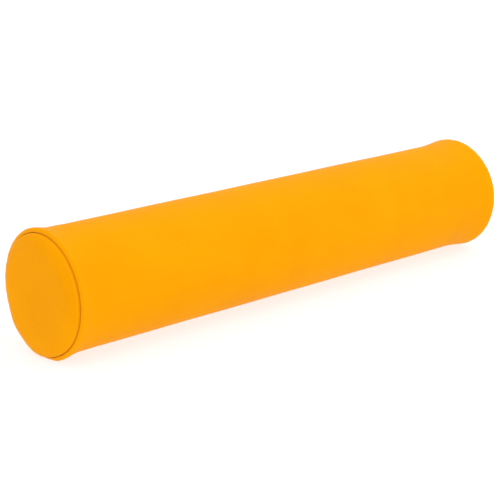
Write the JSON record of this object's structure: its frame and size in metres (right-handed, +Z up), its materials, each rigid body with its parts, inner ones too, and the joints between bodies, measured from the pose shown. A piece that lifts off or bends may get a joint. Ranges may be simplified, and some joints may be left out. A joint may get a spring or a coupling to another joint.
{
  "type": "bolster roll",
  "caption": "Foam bolster roll in a sewn cover of coated fabric, with a round panel and a proud seamed rim at each end and a zip along the back.",
  "frame": {"origin": "on the ground under the middle of the roll, which lies on its two end rims", "axes": "+X along the roll towards the end where the closed zip's slider sits, +Y to the back, where the zip is, +Z up"},
  "size_m": [1.003, 0.2088, 0.2077],
  "materials": {
    "cover_fabric": "satin",
    "foam": "matte",
    "thread": "matte",
    "zip_tape": "matte",
    "zip_coil": "satin",
    "zip_metal": "polished"
  },
  "bodies": {
    "roll": {"foam_core": "foam", "sleeve_panel": "cover_fabric", "left_end_panel": "cover_fabric", "right_end_panel": "cover_fabric", "left_seam_thread": "thread", "right_seam_thread": "thread", "zip_tape_upper": "zip_tape", "zip_tape_lower": "zip_tape", "zip_coil_upper": "zip_coil", "zip_coil_lower": "zip_coil", "zip_top_stop_upper": "zip_metal", "zip_top_stop_lower": "zip_metal", "zip_bottom_stop": "zip_metal", "zip_topstitch_upper": "thread", "zip_topstitch_lower": "thread", "zip_end_tack_left": "thread", "zip_end_tack_right": "thread"},
    "slider": {"zip_slider_body": "zip_metal"},
    "pull": {"zip_pull_tab": "zip_metal"}
  },
  "joints": [
    {"name": "zip_slide", "type": "slide", "parent": "roll", "child": "slider", "axis": [-1, 0, 0], "range_m": [0, 0.86]},
    {"name": "pull_hinge", "type": "hinge", "parent": "slider", "child": "pull", "pos_m": [0.43, 0.09353, 0.14691], "axis": [0, 0.4226, -0.9063], "range_deg": [0, 180]}
  ]
}
